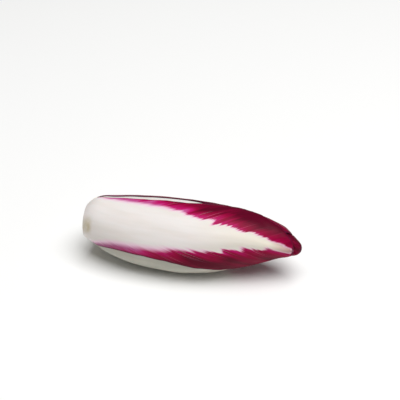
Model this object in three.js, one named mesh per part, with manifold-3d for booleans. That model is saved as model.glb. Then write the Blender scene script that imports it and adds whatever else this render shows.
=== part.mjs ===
// A head of red Belgian endive (forced red chicory), as picked, lying on its side.
// Its leaves spiral round a short cut stem and wrap each other into a closed, pointed bud.
// Millimetres and degrees. +X runs from the cut butt to the tip, +Z is up, and the head rests on z = 0.
import * as THREE from "three";
import { mergeVertices } from "three/addons/utils/BufferGeometryUtils.js";
import Module from "manifold-3d";

const wasm = await Module();
wasm.setup();

// ---- Driving dimensions ----
const HEAD_LENGTH = 150; // from the cut butt to the tip of the bud
const LEAF_COUNT = 12;
const OUTER_LEAVES = 7; // the leaves that show outside
const LEAF_ROWS = 15;
const ROW_CROWDING = 0.7; // how much closer the rows lie at a leaf's foot and tip: 0 not at all, 1 fully
const OUTER_COLUMNS = 16;
const INNER_COLUMNS = 12;
const DIVERGENCE = 137.5; // the angle from each leaf to the next one in
const FIRST_MIDRIB = 9; // the outermost leaf's midrib at the butt, from the direction the head shows
const THIRD_LEAF_LEAN = -9; // the leaf the head rests on has slipped round towards the ground
const SHOW_ELEVATION = 35; // angle 0 of the head points this far above level, towards -Y
const BLADE_THICKNESS = 0.9; // at a leaf's margins
const LEAF_GAP = 0.5; // air between one leaf and the next
const OUTER_TIPS = [143, 141, 139]; // where the three outer leaves end
const TIP_RECESS = 0.27; // each further leaf ends lower, by this much times the square of its number
const CUT_LEAVES = 2; // the cut went through the feet of this many leaves
const THIRD_FOOT = 3; // the next leaf starts this far above the cut
const NODE_SPACING = 2.6; // and each further one this much higher up the stem
const LEAF_SHRINKAGE = 0.026; // each leaf is narrower than the last, by this share of leaf 1's width
const RIB_SHRINKAGE = 0.045; // and its rib thinner, by this share of leaf 1's rib
const SLIMMEST_TIP = 2.4; // a leaf ends where the closing bud leaves it less than this radius
const TIP_REACH = 45; // measured this far to either side of its midrib
const FOLD_RADIUS = 0.5; // no leaf comes nearer the head's axis than this
const WIDEST_WRAP = 130; // no leaf wraps further than this to either side of its midrib
const STEM_FLARE = 2.4; // how far up the stem keeps the full girth of the cut where no leaf covers it
const STEM_SEGMENTS = 60;
const BUD_SEGMENTS = 24;
const BUD_START = 48.4; // just above the stem
const BUD_END = 97;
const BUD_RADIUS = 3.6;
const BUD_CLEARANCE = 3; // along the axis, between the bud and what narrows its room
const FLAT_DEPTH = 1.8; // how much the head's belly is pressed flat where it rests
const FLAT_SHAVE = 0.1; // and then shaved, so that the facets there become one level face

// Radius of the head along its axis: [station, radius].
const headRadius = curveThrough([
  [0, 12.2], [4, 15], [10, 17.8], [18, 20.1], [33, 23.1], [50, 24.7], [66, 25.2], [84, 24.2],
  [103, 21], [117, 17.5], [128, 13.7], [134, 11.2], [140, 8.3], [145, 5.2], [150, 2.4],
]);

// How far the axis strays from a straight line, towards the upper side: [station, rise].
const axisRise = curveThrough([
  [0, 0], [5, 0.8], [18, -1], [40, -2.4], [66, -2.6], [84, -1.6],
  [103, 0.4], [117, 1.5], [131, 2.2], [140, 0.9], [146, -0.8], [150, -1],
]);

// How far every midrib has turned from its line at the butt: [station, turn].
const midribTurn = curveThrough([
  [0, 0], [50, -3], [80, -6.5], [100, -9], [116, -15], [135, -35], [143, -43], [150, -47],
]);

// Radius of the stem that carries the leaves: [station, radius].
const STEM_LENGTH = 48;
const stemRadius = curveThrough([[0, 8.4], [4, 9], [12, 8.4], [24, 6.2], [38, 3.6], [STEM_LENGTH, 1.8]]);

// Shape of the heart bud: [share of its length, share of its full radius].
const budShape = curveThrough([[0, 0.5], [0.3, 1], [0.6, 0.85], [0.85, 0.45], [1, 0.1]]);

// Half the width of the outermost leaf, laid flat: [share of the leaf's length, half width].
const leafHalfWidth = curveThrough([
  [0, 13], [0.06, 17.5], [0.25, 20.5], [0.45, 24.5], [0.68, 29.5], [0.8, 27.5],
  [0.895, 18.8], [0.94, 15], [0.97, 10.4], [0.993, 6.2], [1, 2.4],
]);

// Half the width of its thick white rib, and how thick the rib is there.
const ribHalfWidth = curveThrough([[0, 13], [0.1, 16], [0.25, 16.5], [0.5, 12], [0.75, 6.5], [1, 1.5]]);
const ribThickness = curveThrough([[0, 2.4], [0.1, 3.9], [0.3, 3.7], [0.6, 2.5], [1, 1]]);

// ---- Small helpers ----

// A smooth curve y(x) through points [x, y], which never overshoots them.
function curveThrough(points) {
  const slope = (i) => (points[i + 1][1] - points[i][1]) / (points[i + 1][0] - points[i][0]);
  const last = points.length - 1;
  const tangent = points.map((_, i) => {
    if (i === 0 || i === last) return slope(Math.min(i, last - 1));
    const before = slope(i - 1);
    const after = slope(i);
    return before * after <= 0 ? 0 : (2 * before * after) / (before + after);
  });
  return (x) => {
    const at = THREE.MathUtils.clamp(x, points[0][0], points[last][0]);
    let i = 0;
    while (i < last - 1 && at > points[i + 1][0]) i += 1;
    const [x0, y0] = points[i];
    const [x1, y1] = points[i + 1];
    const width = x1 - x0;
    const t = (at - x0) / width;
    return (
      y0 * (1 + 2 * t) * (1 - t) ** 2 + tangent[i] * width * t * (1 - t) ** 2 +
      y1 * t * t * (3 - 2 * t) + tangent[i + 1] * width * t * t * (t - 1)
    );
  };
}

// A list of numbers made by calling value(place), and a grid of them made by calling value(row, column).
const listOf = (length, value) => Array.from({ length }, (_, place) => value(place));
const gridOf = (rows, columns, value) =>
  listOf(rows, (row) => listOf(columns, (column) => value(row, column)));

const radians = THREE.MathUtils.degToRad;
const clamp = THREE.MathUtils.clamp;
const lerp = THREE.MathUtils.lerp;

// A point of the head: a station along the axis, and an angle and a radius round it.
const SHOW = new THREE.Vector3(0, -Math.cos(radians(SHOW_ELEVATION)), Math.sin(radians(SHOW_ELEVATION)));
const RISE = new THREE.Vector3(0, Math.sin(radians(SHOW_ELEVATION)), Math.cos(radians(SHOW_ELEVATION)));
function headPoint(station, angle, radius) {
  return new THREE.Vector3(station, 0, 0)
    .addScaledVector(SHOW, radius * Math.cos(radians(angle)))
    .addScaledVector(RISE, radius * Math.sin(radians(angle)) + axisRise(station));
}

// The floor the head rests on, and how far from the axis it lies in a direction that points down.
const AXIS_STATIONS = listOf(HEAD_LENGTH, (station) => station);
const restLevel = FLAT_DEPTH + Math.min(...AXIS_STATIONS.map((s) => axisRise(s) * RISE.z - headRadius(s)));
function floorRadius(station, angle) {
  const down = -Math.sin(radians(angle + SHOW_ELEVATION));
  return down > 0 ? (axisRise(station) * RISE.z - restLevel) / down : Infinity;
}

// How much longer a step across the head's surface is than the same step straight towards the axis.
const steepness = (station) => Math.hypot(1, (headRadius(station + 1) - headRadius(station - 1)) / 2);

// ---- The lay-up ----
// The head is laid up from the outside in. taken[station][sector] is how deep below the head's surface
// the leaves laid so far reach, so the next leaf lies just inside it and none can cross another.
const STATION_STEP = 2;
const SECTOR_STEP = 3;
const STATIONS = HEAD_LENGTH / STATION_STEP + 1;
const SECTORS = 360 / SECTOR_STEP;
const taken = gridOf(STATIONS, SECTORS, () => 0);
const sectorAt = (number) => ((number % SECTORS) + SECTORS) % SECTORS;

// Each value of a grid becomes the fold (the most, or the mean) of those within reach of it.
const NEARBY = [-2, -1, 0, 1, 2];
const CELL_REACH = 0.6;
function spread(grid, fold) {
  const alongAxis = gridOf(STATIONS, SECTORS, (station, sector) =>
    fold(NEARBY.map((step) => grid[clamp(station + step, 0, STATIONS - 1)][sector])));
  return gridOf(STATIONS, SECTORS, (station, sector) =>
    fold(NEARBY.map((step) => alongAxis[station][sectorAt(sector + step)])));
}
const most = (values) => Math.max(...values);
const mean = (values) => values.reduce((sum, value) => sum + value, 0) / values.length;

// A leaf is stiff, so it bridges the steps and hollows of what it lies against.
const bridged = (grid) => spread(spread(grid, most), mean);

// The deepest value of a grid in a patch of stations and angles.
function deepestIn(grid, [stationFrom, stationTo], [angleFrom, angleTo]) {
  const lowest = Math.max(0, Math.floor(stationFrom / STATION_STEP));
  const highest = Math.min(STATIONS - 1, Math.ceil(stationTo / STATION_STEP));
  let deepest = 0;
  const first = Math.floor(angleFrom / SECTOR_STEP);
  const last = Math.ceil(angleTo / SECTOR_STEP);
  for (let station = lowest; station <= highest; station += 1) {
    for (let sector = first; sector <= last; sector += 1) {
      deepest = Math.max(deepest, grid[station][sectorAt(sector)]);
    }
  }
  return deepest;
}

// ---- One leaf ----

// A leaf by rule from its place in the spiral: a grid of rows from foot to tip, and of columns
// across, with the radius of its outer and its inner surface at every crossing.
function growLeaf(index, limit, rows, columns) {
  const foot = index < CUT_LEAVES ? 0 : THIRD_FOOT + NODE_SPACING * (index - CUT_LEAVES);
  const size = 1 - LEAF_SHRINKAGE * index;
  const lean = index === CUT_LEAVES ? THIRD_LEAF_LEAN : 0;
  const midrib = (station) => FIRST_MIDRIB + lean + index * DIVERGENCE + midribTurn(station);
  const roomAt = (station, reach) => {
    const angle = midrib(station);
    return headRadius(station) - deepestIn(limit, [station, station], [angle - reach, angle + reach]);
  };
  let tip = OUTER_TIPS[index] ?? HEAD_LENGTH - TIP_RECESS * (index - OUTER_TIPS.length) ** 2;
  while (roomAt(tip, TIP_REACH) < SLIMMEST_TIP) tip -= STATION_STEP / 4;

  const crowding = ROW_CROWDING / (2 * Math.PI);
  const share = (row) => row / rows - crowding * Math.sin((2 * Math.PI * row) / rows);
  const station = (row) => lerp(foot, tip, share(clamp(row, 0, rows)));
  const halfAngle = (row) => {
    const radius = Math.max(roomAt(station(row), SECTOR_STEP), SLIMMEST_TIP);
    const flat = leafHalfWidth(share(clamp(row, 0, rows))) * size;
    return Math.min(THREE.MathUtils.radToDeg(flat / radius), WIDEST_WRAP);
  };
  const angle = (row, column) => midrib(station(row)) + halfAngle(row) * ((2 * column) / columns - 1);

  const outer = gridOf(rows + 1, columns + 1, (row, column) => {
    const [before, after] = [row - CELL_REACH, row + CELL_REACH];
    const corners = [before, after].flatMap((r) =>
      [column - CELL_REACH, column + CELL_REACH].map((c) => angle(r, c)));
    const patch = [Math.min(...corners), Math.max(...corners)];
    const free = headRadius(station(row)) - deepestIn(limit, [station(before), station(after)], patch);
    return Math.min(free, floorRadius(station(row), angle(row, column)));
  });
  const inner = gridOf(rows + 1, columns + 1, (row, column) => {
    const at = station(row);
    const across = Math.abs((2 * column) / columns - 1) * leafHalfWidth(share(row));
    const crown = (1 - Math.min(across / ribHalfWidth(share(row)), 1) ** 2) ** 2;
    const rib = Math.max(ribThickness(share(row)) * (1 - RIB_SHRINKAGE * index), BLADE_THICKNESS);
    const thickness = lerp(BLADE_THICKNESS, rib, crown) * (at > HEAD_LENGTH / 2 ? steepness(at) : 1);
    const stem = at < STEM_LENGTH + STATION_STEP ? stemRadius(at) + LEAF_GAP : FOLD_RADIUS;
    const cutFoot = index < CUT_LEAVES && row === 0;
    return cutFoot ? stem : Math.max(outer[row][column] - thickness, stem);
  });
  return { rows, columns, station, angle, outer, inner };
}

// Marks what a leaf takes of the head, with the gap inside it. Its facets are flat, so between two
// crossings the surface lies a little nearer the axis than either.
function take({ rows, columns, station, angle, inner }) {
  for (let s = 0; s < STATIONS; s += 1) {
    const at = s * STATION_STEP;
    if (at < station(0) - STATION_STEP || at > station(rows) + STATION_STEP) continue;
    let row = 0;
    while (row < rows - 1 && station(row + 1) < at) row += 1;
    const along = clamp((at - station(row)) / (station(row + 1) - station(row)), 0, 1);
    const angles = listOf(columns + 1, (c) => lerp(angle(row, c), angle(row + 1, c), along));
    const radii = angles.map((_, c) => lerp(inner[row][c], inner[row + 1][c], along));
    const facet = angles[1] - angles[0];
    const first = Math.floor(angles[0] / SECTOR_STEP) - 1;
    const last = Math.ceil(angles[columns] / SECTOR_STEP) + 1;
    for (let sector = first; sector <= last; sector += 1) {
      const across = clamp((sector * SECTOR_STEP - angles[0]) / facet, 0, columns);
      const c = Math.min(Math.floor(across), columns - 1);
      const [near, far] = [radians(facet * (across - c)), radians(facet * (c + 1 - across))];
      const chord = (radii[c] * radii[c + 1] * Math.sin(near + far)) /
        (radii[c] * Math.sin(far) + radii[c + 1] * Math.sin(near));
      const depth = headRadius(at) - chord + LEAF_GAP * steepness(at);
      taken[s][sectorAt(sector)] = Math.max(taken[s][sectorAt(sector)], depth);
    }
  }
}

// The closed solid between a leaf's outer and inner surfaces.
function leafGeometry({ rows, columns, station, angle, outer, inner }) {
  const vertices = [outer, inner].flatMap((side) =>
    side.flatMap((radii, row) => radii.flatMap((radius, column) =>
      headPoint(station(row), angle(row, column), radius).toArray())));
  const layer = (rows + 1) * (columns + 1);
  const at = (row, column, side) => side * layer + row * (columns + 1) + column;
  const faces = [];
  const quad = (a, b, c, d) => faces.push(a, b, c, a, c, d);
  for (let row = 0; row < rows; row += 1) {
    for (let column = 0; column < columns; column += 1) {
      quad(at(row, column, 0), at(row + 1, column, 0), at(row + 1, column + 1, 0), at(row, column + 1, 0));
      quad(at(row, column, 1), at(row, column + 1, 1), at(row + 1, column + 1, 1), at(row + 1, column, 1));
    }
    quad(at(row, 0, 0), at(row, 0, 1), at(row + 1, 0, 1), at(row + 1, 0, 0));
    quad(at(row, columns, 0), at(row + 1, columns, 0), at(row + 1, columns, 1), at(row, columns, 1));
  }
  for (let column = 0; column < columns; column += 1) {
    quad(at(0, column, 0), at(0, column + 1, 0), at(0, column + 1, 1), at(0, column, 1));
    quad(at(rows, column, 0), at(rows, column, 1), at(rows, column + 1, 1), at(rows, column + 1, 0));
  }
  return { vertices, faces };
}

// ---- The stem and the heart bud, round the head's own axis ----

// A closed skin through rings at the stations, with the radius that radiusAt(station, angle) gives.
function axialGeometry(stations, radiusAt, segments) {
  const angles = listOf(segments, (i) => (360 * i) / segments);
  const vertices = stations.flatMap((station) =>
    angles.flatMap((angle) => headPoint(station, angle, radiusAt(station, angle)).toArray()));
  const foot = vertices.length / 3;
  const [first, last] = [stations[0], stations[stations.length - 1]];
  vertices.push(...headPoint(first, 0, 0).toArray(), ...headPoint(last, 0, 0).toArray());
  const faces = [];
  for (let i = 0; i < segments; i += 1) {
    const next = (i + 1) % segments;
    for (let ring = 0; ring < stations.length - 1; ring += 1) {
      const [a, b] = [ring * segments, (ring + 1) * segments];
      faces.push(a + i, b + i, b + next, a + i, b + next, a + next);
    }
    const top = (stations.length - 1) * segments;
    faces.push(foot, i, next, foot + 1, top + next, top + i);
  }
  return { vertices, faces };
}

// ---- Solids ----
function asSolid({ vertices, faces }) {
  const mesh = new wasm.Mesh({
    numProp: 3,
    vertProperties: new Float32Array(vertices),
    triVerts: new Uint32Array(faces),
  });
  return new wasm.Manifold(mesh);
}

function asGeometry(solid) {
  const { vertProperties, triVerts } = solid.getMesh();
  const geometry = new THREE.BufferGeometry();
  geometry.setAttribute("position", new THREE.BufferAttribute(vertProperties, 3));
  geometry.setIndex(new THREE.BufferAttribute(triVerts, 1));
  return geometry;
}

// A block that fills all the space below a level.
function blockBelow(level, size) {
  const block = new THREE.BoxGeometry(4 * size, 4 * size, size).translate(0, 0, level - size / 2);
  block.deleteAttribute("normal");
  block.deleteAttribute("uv");
  const merged = mergeVertices(block);
  return asSolid({ vertices: merged.attributes.position.array, faces: merged.index.array });
}

// ---- Materials ----
const finish = (color, roughness) => new THREE.MeshStandardMaterial({ color, roughness, metalness: 0 });
const OUTER_LEAF = finish(0xe6e1dc, 0.4);
const INNER_LEAF = finish(0x7a1038, 0.42);
const STEM_FLESH = finish(0xe4dcc4, 0.6);
const HEART = finish(0xd8cf94, 0.5);

// ---- Assembly ----
const solids = [];
const roomForLeaves = [];
for (let index = 0; index < LEAF_COUNT; index += 1) {
  const shows = index < OUTER_LEAVES;
  roomForLeaves.push(bridged(taken));
  const leaf = growLeaf(index, roomForLeaves[index], LEAF_ROWS, shows ? OUTER_COLUMNS : INNER_COLUMNS);
  take(leaf);
  const name = `leaf_${String(index + 1).padStart(2, "0")}`;
  solids.push({ name, solid: asSolid(leafGeometry(leaf)), material: shows ? OUTER_LEAF : INNER_LEAF });
}

// At the cut the stem fills the room that the cut leaves leave, and higher up it is a plain taper.
function stemReach(station, angle) {
  if (station > STEM_FLARE) return stemRadius(station);
  const beside = [angle - SECTOR_STEP, angle + SECTOR_STEP];
  const room = headRadius(station) - deepestIn(roomForLeaves[CUT_LEAVES], [station, station], beside);
  return Math.max(room, stemRadius(station));
}
const stemStations = [0, 1.2, STEM_FLARE, STEM_FLARE + 0.1, 5, 9, 14, 20, 28, 38, STEM_LENGTH];
const stem = asSolid(axialGeometry(stemStations, stemReach, STEM_SEGMENTS));
solids.push({ name: "core_stem", solid: stem, material: STEM_FLESH });

// The heart bud fills what the leaves have left free round the axis, and closes to a point.
function budReach(station) {
  const nearby = [station - BUD_CLEARANCE, station + BUD_CLEARANCE];
  const free = headRadius(station) - deepestIn(taken, nearby, [0, 360]);
  return Math.min(free, BUD_RADIUS) * budShape((station - BUD_START) / (BUD_END - BUD_START));
}
const budShares = [0, 0.08, 0.2, 0.35, 0.5, 0.65, 0.8, 0.92, 1];
const budStations = budShares.map((share) => lerp(BUD_START, BUD_END, share));
const bud = asSolid(axialGeometry(budStations, budReach, BUD_SEGMENTS));
solids.push({ name: "heart_bud", solid: bud, material: HEART });

// The head lies centred over the floor, with the flat of its belly shaved level.
const floorLevel = restLevel + FLAT_SHAVE;
const belowFloor = blockBelow(floorLevel, HEAD_LENGTH);
const bounds = new THREE.Box3();
for (const piece of solids) {
  piece.solid = piece.solid.subtract(belowFloor);
  bounds.union(new THREE.Box3().setFromBufferAttribute(asGeometry(piece.solid).attributes.position));
}
const middle = bounds.getCenter(new THREE.Vector3());
const head = new THREE.Group();
for (const { name, solid, material } of solids) {
  const mesh = new THREE.Mesh(asGeometry(solid), material);
  mesh.geometry.translate(-middle.x, -middle.y, -floorLevel);
  mesh.name = name;
  head.add(mesh);
}
export default head;
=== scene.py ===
# %% [markdown]
# # A head of red Belgian endive
# Red Belgian endive is a chicory that is forced to grow in the dark. Its leaves stay folded into a tight,
# pointed bud: thick white ribs, and thin blades that turn from magenta to a deep crimson. This script
# dresses the plain solids of the head with leaves whose every millimetre follows the same growth rules.
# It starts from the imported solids, which say where each leaf starts and ends.

# %% Load the frame
import math
from types import SimpleNamespace

import bpy
import numpy as np
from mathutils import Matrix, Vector


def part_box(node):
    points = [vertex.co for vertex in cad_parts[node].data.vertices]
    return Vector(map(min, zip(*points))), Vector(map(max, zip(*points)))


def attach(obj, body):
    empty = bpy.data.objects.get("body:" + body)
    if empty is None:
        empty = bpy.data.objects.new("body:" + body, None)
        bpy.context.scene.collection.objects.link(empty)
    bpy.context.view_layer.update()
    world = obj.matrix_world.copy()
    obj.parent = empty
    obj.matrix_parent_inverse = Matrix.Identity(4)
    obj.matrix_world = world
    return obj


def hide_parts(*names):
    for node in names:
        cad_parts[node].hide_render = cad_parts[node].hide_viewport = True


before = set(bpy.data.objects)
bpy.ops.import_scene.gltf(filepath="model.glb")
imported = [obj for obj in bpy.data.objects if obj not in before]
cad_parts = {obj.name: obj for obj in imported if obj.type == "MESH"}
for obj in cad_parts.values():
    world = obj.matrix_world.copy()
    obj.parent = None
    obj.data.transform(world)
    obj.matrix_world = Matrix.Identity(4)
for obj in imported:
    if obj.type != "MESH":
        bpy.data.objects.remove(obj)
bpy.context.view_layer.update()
MM = 0.001
ROOT = "root"
LEAF_NAMES = sorted(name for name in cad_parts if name.startswith("leaf_"))
print("leaves in the frame:", len(LEAF_NAMES))


# %% [markdown]
# ## Helpers for colours, nodes and objects
# Colours are picked as the hex values that a screen shows, and Blender's shaders want linear light, so one
# function turns one into the other. A second adds a node to any tree, with its settings and its links. Two
# more start a material and put an object into the scene.

# %% Colours, nodes and objects
def srgb(hex_colour):
    channels = [int(hex_colour[i:i + 2], 16) / 255 for i in (0, 2, 4)]
    linear = [c / 12.92 if c <= 0.04045 else ((c + 0.055) / 1.055) ** 2.4 for c in channels]
    return (*linear, 1.0)


def add(tree, kind, inputs=(), **settings):
    """Adds a node. Its inputs are a list in the order of its sockets, or a dict by their names or numbers.

    Each one is a value, a socket to link from, or a node to link from by its first output.
    """
    node = tree.nodes.new(kind)
    for setting, value in settings.items():
        setattr(node, setting, value)
    given = inputs if isinstance(inputs, dict) else dict(enumerate(inputs))
    for socket, value in given.items():
        source = value.outputs[0] if isinstance(value, bpy.types.Node) else value
        if isinstance(source, bpy.types.NodeSocket):
            tree.links.new(source, node.inputs[socket])
        else:
            node.inputs[socket].default_value = source
    return node


def new_material(name):
    """A material and its tree, still empty."""
    material = bpy.data.materials.new(name)
    material.use_nodes = True
    material.node_tree.nodes.clear()
    return material, material.node_tree


def new_object(name, data):
    made = bpy.data.objects.new(name, data)
    bpy.context.collection.objects.link(made)
    return made


print("a screen's mid grey in linear light:", round(srgb("808080")[0], 3))

# %% [markdown]
# ## Helpers for grown shapes
# A grown shape has no dents, so its curves are drawn through a few points without ever overshooting them: a
# leaf never gets a waist between two of the widths that were given for it. Where one thing passes into
# another, it does so along a soft step.

# %% Curves and steps
def curve_through(*points):
    """A smooth y(x) through the points, which never overshoots them."""
    x, y = np.array(points, dtype=float).T
    slope = np.diff(y) / np.diff(x)
    tangent = np.concatenate([slope[:1], np.zeros(len(x) - 2), slope[-1:]])
    same_way = slope[:-1] * slope[1:] > 0
    total = np.where(same_way, slope[:-1] + slope[1:], 1.0)
    tangent[1:-1] = np.where(same_way, 2 * slope[:-1] * slope[1:] / total, 0.0)

    def curve(at):
        at = np.clip(at, x[0], x[-1])
        i = np.clip(np.searchsorted(x, at, side="right") - 1, 0, len(x) - 2)
        width = x[i + 1] - x[i]
        t = (at - x[i]) / width
        from_start = y[i] * (1 + 2 * t) * (1 - t) ** 2 + tangent[i] * width * t * (1 - t) ** 2
        return from_start + y[i + 1] * t * t * (3 - 2 * t) + tangent[i + 1] * width * t * t * (t - 1)

    return curve


def smooth_step(low, high, value):
    t = np.clip((value - low) / (high - low), 0.0, 1.0)
    return t * t * (3 - 2 * t)


print("a quarter of the way, a soft step has risen by", smooth_step(0, 1, 0.25))

# %% [markdown]
# ## The form of the head
# Every point of the head is given by a station along its axis, an angle round it and a depth below its
# surface, all in millimetres and degrees. That is how a bud grows, and it keeps each leaf's shape simple.
# Angle 0 points to the side that shows, and the axis is not quite straight: it sways as the real head does.

# %% Axis, radius and sway
SHOW_ELEVATION = 35
show_tilt = math.radians(SHOW_ELEVATION)
SHOW = np.array([0, -math.cos(show_tilt), math.sin(show_tilt)])
RISE = np.array([0, math.sin(show_tilt), math.cos(show_tilt)])
HEAD_LENGTH = 150
STEM_LENGTH = 48
SAME_STATION = 0.01

head_radius = curve_through(
    (0, 12.2), (4, 15), (10, 17.8), (18, 20.1), (33, 23.1), (50, 24.7), (66, 25.2), (84, 24.2),
    (103, 21), (117, 17.5), (128, 13.7), (134, 11.2), (140, 8.3), (145, 5.2), (150, 2.4),
)
axis_rise = curve_through(
    (0, 0), (5, 0.8), (18, -1), (40, -2.4), (66, -2.6), (84, -1.6),
    (103, 0.4), (117, 1.5), (131, 2.2), (140, 0.9), (146, -0.8), (150, -1),
)

# The stem's solid ends inside the head in a round ring, so the middle of that ring lies on the axis.
stem_points = np.array([v.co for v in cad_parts["core_stem"].data.vertices])
end_ring = stem_points[stem_points[:, 0] > stem_points[:, 0].max() - SAME_STATION * MM]
end_middle = (end_ring.min(axis=0) + end_ring.max(axis=0)) / 2
BUTT = end_middle - MM * (STEM_LENGTH * np.array([1, 0, 0]) + axis_rise(STEM_LENGTH) * RISE)
print("butt centre, mm:", np.round(BUTT / MM, 2), "widest radius, mm:", head_radius(66.0))

# %% From stations, angles and depths to points
FACING_DOWN = 0.1


def head_points(station, angle, depth):
    """Points in metres, in the frame, for arrays of stations, angles and depths."""
    station, angle, depth = np.broadcast_arrays(station, np.radians(angle), depth)
    radius = head_radius(station) - depth
    along = np.stack([station, np.zeros_like(radius), np.zeros_like(radius)], axis=-1)
    outward = radius[..., None] * (np.cos(angle)[..., None] * SHOW + np.sin(angle)[..., None] * RISE)
    return BUTT + MM * (along + outward + axis_rise(station)[..., None] * RISE)


def steepness(station):
    """How much longer a step straight down through the surface is, seen along the radius."""
    return np.hypot(1, (head_radius(station + 1) - head_radius(station - 1)) / 2)


def floor_depth(station, angle):
    """How deep below the head's surface the floor lies: the belly is pressed flat there."""
    down = -np.sin(np.radians(angle + SHOW_ELEVATION))
    axis_height = BUTT[2] / MM + axis_rise(station) * RISE[2]
    pressed = head_radius(station) - axis_height / np.maximum(down, FACING_DOWN)
    return np.where(down > FACING_DOWN, pressed, 0.0)


print("the belly is pressed in by, mm:", round(float(floor_depth(66.0, -90.0 - SHOW_ELEVATION)), 2))

# %% [markdown]
# ## Laying the leaves from the outside in
# A real head packs its leaves without a hair of air, which is hard to model leaf by leaf. So the head is
# laid up like a nest of shells: a map holds how deep below the head's surface is already taken, at every
# station and angle. Each leaf goes just inside it, then adds its own thickness. Before each leaf the map is
# widened and then smoothed, because a leaf is stiff and bridges the steps that lie over it.

# %% The map of what is taken
SECTOR_STEP = 2
SECTORS = 360 // SECTOR_STEP
MAP_STATIONS = np.arange(0, HEAD_LENGTH + 1, 1.0)
MAP_ANGLES = np.arange(SECTORS) * SECTOR_STEP
LAST_ROW = HEAD_LENGTH - 1e-6
STATION_EASE = 2
SECTOR_EASE = 1
taken = np.zeros((len(MAP_STATIONS), SECTORS))


def shifted(grid, stations, sectors):
    rows = np.clip(np.arange(len(grid)) + stations, 0, len(grid) - 1)
    return np.roll(grid[rows], sectors, axis=1)


def spread(grid, station_reach, sector_reach, fold):
    along = fold([shifted(grid, step, 0) for step in range(-station_reach, station_reach + 1)], axis=0)
    return fold([shifted(along, 0, step) for step in range(-sector_reach, sector_reach + 1)], axis=0)


def bridged(grid):
    """Widened by twice the reach of each smoothing, so that it never lies above the leaves outside it."""
    wide = spread(grid, 2 * STATION_EASE, 2 * SECTOR_EASE, np.max)
    once = spread(wide, STATION_EASE, SECTOR_EASE, np.mean)
    return spread(once, STATION_EASE, SECTOR_EASE, np.mean)


def hugging(grid):
    """The same with the least reach, for what fills a gap or closes over an end."""
    return spread(spread(grid, 1, 1, np.max), 1, 1, np.mean)


def sample(grid, station, angle):
    """The map's value between its points."""
    row = np.clip(station, 0, LAST_ROW)
    column = np.mod(angle, 360) / SECTOR_STEP
    r = row.astype(int)
    c = column.astype(int) % SECTORS
    down, right = row - r, column - np.floor(column)
    near = grid[r, c] * (1 - right) + grid[r, (c + 1) % SECTORS] * right
    far = grid[r + 1, c] * (1 - right) + grid[r + 1, (c + 1) % SECTORS] * right
    return near * (1 - down) + far * down


print("map of what is taken, stations by sectors:", taken.shape)

# %% [markdown]
# ## Where a leaf sits
# Chicory sets its leaves a golden angle apart, so that none lies straight over the one before. Each midrib
# starts on its own side of the stem and turns towards the tip, as the whole bud twists. The third leaf is
# pushed aside a little by its neighbours.

# %% Midribs
DIVERGENCE = 137.5
FIRST_MIDRIB = 9
THIRD_LEAF = 2
THIRD_LEAF_LEAN = -9

midrib_turn = curve_through(
    (0, 0), (50, -3), (80, -6.5), (100, -9), (116, -15), (135, -35), (143, -43), (150, -47),
)


def midrib_angle(index, station):
    lean = THIRD_LEAF_LEAN if index == THIRD_LEAF else 0
    return FIRST_MIDRIB + lean + index * DIVERGENCE + midrib_turn(station)


midribs = [round(float(midrib_angle(index, 0)) % 360) for index in range(len(LEAF_NAMES))]
print("midribs at the stem, degrees:", midribs)

# %% [markdown]
# ## The outline of a leaf
# A leaf starts at its foot on the stem and ends about where its solid ends, so both places come from the
# frame. Laid flat, all leaves have one curve of widths, slightly smaller from each leaf to the next. A few
# reach further on one side. The outermost leaf clasps the butt, and in its middle it is slim below and full
# above. The second one comes round its shoulder, and the fourth one folds round the tip of the head.

# %% Widths laid flat
leaf_half_width = curve_through(
    (0, 13), (0.06, 17.5), (0.25, 20.5), (0.45, 24.5), (0.68, 29.5), (0.8, 27.5),
    (0.895, 18.8), (0.94, 15), (0.97, 10.4), (0.993, 6.2), (1, 2.4),
)
# How much further either half reaches, in mm, by the leaf's index.
lower_reach = {
    0: curve_through(
        (0, 5), (0.06, 6), (0.12, 2.6), (0.2, 0.3), (0.32, -0.9),
        (0.45, -2.4), (0.6, -2.4), (0.7, 0), (1, 0),
    ),
    1: curve_through(
        (0, 0), (0.06, 2.5), (0.16, 7.5), (0.26, 8), (0.38, 6), (0.5, 2.5), (0.62, 0.3), (1, 0),
    ),
    3: curve_through((0, 0), (0.9, 0), (0.96, 3), (0.985, 4), (1, 2.5)),
}
upper_reach = {
    0: curve_through((0, 0), (0.08, 0.6), (0.2, 2.3), (0.35, 2.5), (0.5, 1.3), (0.62, 0), (1, 0)),
}
print("widest leaf laid flat, mm:", 2 * leaf_half_width(0.68))

# %% [markdown]
# ## Its margins
# Chicory margins are not cut by a template: long soft waves run along them, and small nibbles towards the
# tip. Both are drawn as wandering lines, from sines whose lengths never fall in step. The leaf is then laid
# out on the head, row by row from its foot, just inside what the map says is taken.

# %% Wandering lines
WANDER_SINES = ((1, 1), (1.73, 0.6), (2.9, 0.4))


def wander(position, seed, wavelength):
    """A smooth line that wanders between -1 and 1, with phases that the seed draws."""
    phases = np.random.default_rng(seed).uniform(0, 2 * np.pi, len(WANDER_SINES))
    turns = 2 * np.pi * position / wavelength
    return sum(size * np.sin(rate * turns + phase) for (rate, size), phase in zip(WANDER_SINES, phases)) / 2


print("a wandering line:", wander(np.arange(5), seed=1, wavelength=4).round(2))

# %% Outline on the head
# Each leaf that lies outside a leaf makes it this share narrower.
LEAF_SHRINKAGE = 0.026
WIDEST_WRAP = 130
SLIMMEST_TIP = 2.4
LEAST_REACH = 0.2
# Rows crowd towards the foot and the tip, and columns towards the margins, where the form bends most.
CROWDING = 0.45
# Of the waves, then of the nibbles: their seed, their length, how far they swing as a share of the width,
# and the stations between which they set in.
MARGIN_WAVES = (
    (40, 23, 0.02, 10, 60),
    (80, 5.1, 0.012, 80, 105),
)
UPPER_HALF_SEED = 7


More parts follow.
